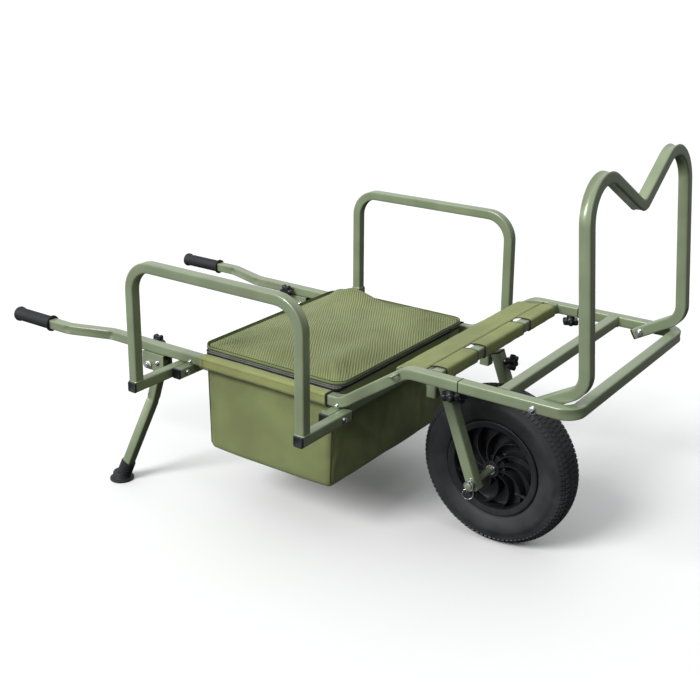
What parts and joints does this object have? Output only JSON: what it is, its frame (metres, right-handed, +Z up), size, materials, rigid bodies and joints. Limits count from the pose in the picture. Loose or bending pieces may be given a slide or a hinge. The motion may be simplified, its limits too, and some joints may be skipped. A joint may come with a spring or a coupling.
{
  "type": "beach cart",
  "caption": "Single-wheel push cart with a square-tube frame, a hanging zip bag, fold-down side guards, an upright front rest and folding rear legs.",
  "frame": {"origin": "on the ground, in the middle of the cart's overall length and width", "axes": "+X points forward to the wheel and front rest, +Y to the cart's left, +Z up"},
  "size_m": [1.6272, 0.932, 0.9491],
  "materials": {
    "olive_paint": "satin olive-green powder coat",
    "olive_fabric": "coated polyester weave",
    "lid_mesh": "padded spacer mesh with a wavy rib",
    "black_plastic": "satin moulded plastic",
    "rim_plastic": "satin moulded plastic",
    "black_foam": "ribbed matte foam rubber",
    "rubber": "matte",
    "tyre_rubber": "matte with moulded tread",
    "bright_zinc": "bright zinc plate"
  },
  "bodies": {
    "frame": {"rail_left": "olive_paint", "rail_right": "olive_paint", "rear_cross_tube": "olive_paint", "front_cross_tube": "olive_paint", "rear_cross_cap_left": "black_plastic", "rear_cross_cap_right": "black_plastic", "front_cross_cap_left": "black_plastic", "front_cross_cap_right": "black_plastic", "sling_cross_tube": "olive_paint", "fork_hanger": "olive_paint", "leg_bracket_left": "olive_paint", "leg_bracket_right": "olive_paint", "leg_bolt_left": "bright_zinc", "leg_bolt_right": "bright_zinc", "guard_bolt_rear_left": "bright_zinc", "guard_bolt_rear_right": "bright_zinc", "guard_bolt_front_left": "bright_zinc", "guard_bolt_front_right": "bright_zinc", "fork_leg_left": "olive_paint", "fork_leg_right": "olive_paint", "axle": "olive_paint", "axle_nut": "bright_zinc", "bag": "olive_fabric", "bag_sleeve_left": "olive_fabric", "bag_sleeve_right": "olive_fabric", "sling": "olive_fabric"},
    "wheel": {"tyre": "tyre_rubber", "rim": "rim_plastic"},
    "front_loop": {"front_loop": "olive_paint", "platform_bar": "olive_paint", "rest_bolt_left": "bright_zinc", "rest_bolt_right": "bright_zinc"},
    "front_rest": {"front_rest": "olive_paint"},
    "bag_lid": {"bag_lid": "lid_mesh"},
    "guard_right": {"guard_hoop_right": "olive_paint", "guard_arm_rear_right": "olive_paint", "guard_arm_front_right": "olive_paint", "guard_cap_rear_right": "black_plastic", "guard_cap_front_right": "black_plastic"},
    "handle_right": {"handle_tube_right": "olive_paint", "grip_right": "black_foam"},
    "leg_right": {"leg_tube_right": "olive_paint", "foot_right": "rubber"},
    "loop_knob_right": {"loop_knob_right": "black_plastic"},
    "handle_knob_right": {"handle_knob_right": "black_plastic"},
    "fork_knob_right": {"fork_knob_right": "black_plastic"},
    "stop_pin_right": {"stop_pin_right": "bright_zinc"},
    "guard_left": {"guard_hoop_left": "olive_paint", "guard_arm_rear_left": "olive_paint", "guard_arm_front_left": "olive_paint", "guard_cap_rear_left": "black_plastic", "guard_cap_front_left": "black_plastic"},
    "handle_left": {"handle_tube_left": "olive_paint", "grip_left": "black_foam"},
    "leg_left": {"leg_tube_left": "olive_paint", "foot_left": "rubber"},
    "loop_knob_left": {"loop_knob_left": "black_plastic"},
    "handle_knob_left": {"handle_knob_left": "black_plastic"},
    "fork_knob_left": {"fork_knob_left": "black_plastic"},
    "stop_pin_left": {"stop_pin_left": "bright_zinc"}
  },
  "joints": [
    {"name": "wheel_spin", "type": "hinge", "parent": "frame", "child": "wheel", "pos_m": [0.4914, 0, 0.19], "axis": [0, 1, 0], "continuous": true},
    {"name": "loop_slide", "type": "slide", "parent": "frame", "child": "front_loop", "axis": [1, 0, 0], "range_m": [0, 0.06]},
    {"name": "rest_fold", "type": "hinge", "parent": "front_loop", "child": "front_rest", "pos_m": [0.7104, 0, 0.488], "axis": [0, -1, 0], "range_deg": [0, 90]},
    {"name": "lid_open", "type": "hinge", "parent": "frame", "child": "bag_lid", "pos_m": [0.0244, 0.272, 0.4015], "axis": [-1, 0, 0], "range_deg": [0, 95]},
    {"name": "guard_right_fold", "type": "hinge", "parent": "frame", "child": "guard_right", "pos_m": [0.0129, -0.318, 0.3547], "axis": [-1, 0, 0], "range_deg": [0, 90]},
    {"name": "handle_right_slide", "type": "slide", "parent": "frame", "child": "handle_right", "axis": [-1, 0, 0], "range_m": [0, 0.12]},
    {"name": "leg_right_fold", "type": "hinge", "parent": "frame", "child": "leg_right", "pos_m": [-0.3146, -0.287, 0.344], "axis": [0, -1, 0], "range_deg": [0, 82]},
    {"name": "loop_knob_right_turn", "type": "hinge", "parent": "frame", "child": "loop_knob_right", "pos_m": [0.5194, -0.287, 0.4802], "axis": [0, 0, 1], "continuous": true},
    {"name": "handle_knob_right_turn", "type": "hinge", "parent": "frame", "child": "handle_knob_right", "pos_m": [-0.3536, -0.2742, 0.38], "axis": [0, 1, 0], "continuous": true},
    {"name": "fork_knob_right_turn", "type": "hinge", "parent": "frame", "child": "fork_knob_right", "pos_m": [0.4341, -0.122, 0.392], "axis": [1, 0, 0], "continuous": true},
    {"name": "stop_pin_right_pull", "type": "slide", "parent": "frame", "child": "stop_pin_right", "axis": [0, -1, 0], "range_m": [0, 0.02]},
    {"name": "guard_left_fold", "type": "hinge", "parent": "frame", "child": "guard_left", "pos_m": [0.0129, 0.318, 0.3547], "axis": [1, 0, 0], "range_deg": [0, 90]},
    {"name": "handle_left_slide", "type": "slide", "parent": "frame", "child": "handle_left", "axis": [-1, 0, 0], "range_m": [0, 0.12]},
    {"name": "leg_left_fold", "type": "hinge", "parent": "frame", "child": "leg_left", "pos_m": [-0.3146, 0.287, 0.344], "axis": [0, -1, 0], "range_deg": [0, 82]},
    {"name": "loop_knob_left_turn", "type": "hinge", "parent": "frame", "child": "loop_knob_left", "pos_m": [0.5194, 0.287, 0.4802], "axis": [0, 0, 1], "continuous": true},
    {"name": "handle_knob_left_turn", "type": "hinge", "parent": "frame", "child": "handle_knob_left", "pos_m": [-0.3536, 0.2742, 0.38], "axis": [0, 1, 0], "continuous": true},
    {"name": "fork_knob_left_turn", "type": "hinge", "parent": "frame", "child": "fork_knob_left", "pos_m": [0.4341, 0.122, 0.392], "axis": [1, 0, 0], "continuous": true},
    {"name": "stop_pin_left_pull", "type": "slide", "parent": "frame", "child": "stop_pin_left", "axis": [0, 1, 0], "range_m": [0, 0.02]}
  ]
}
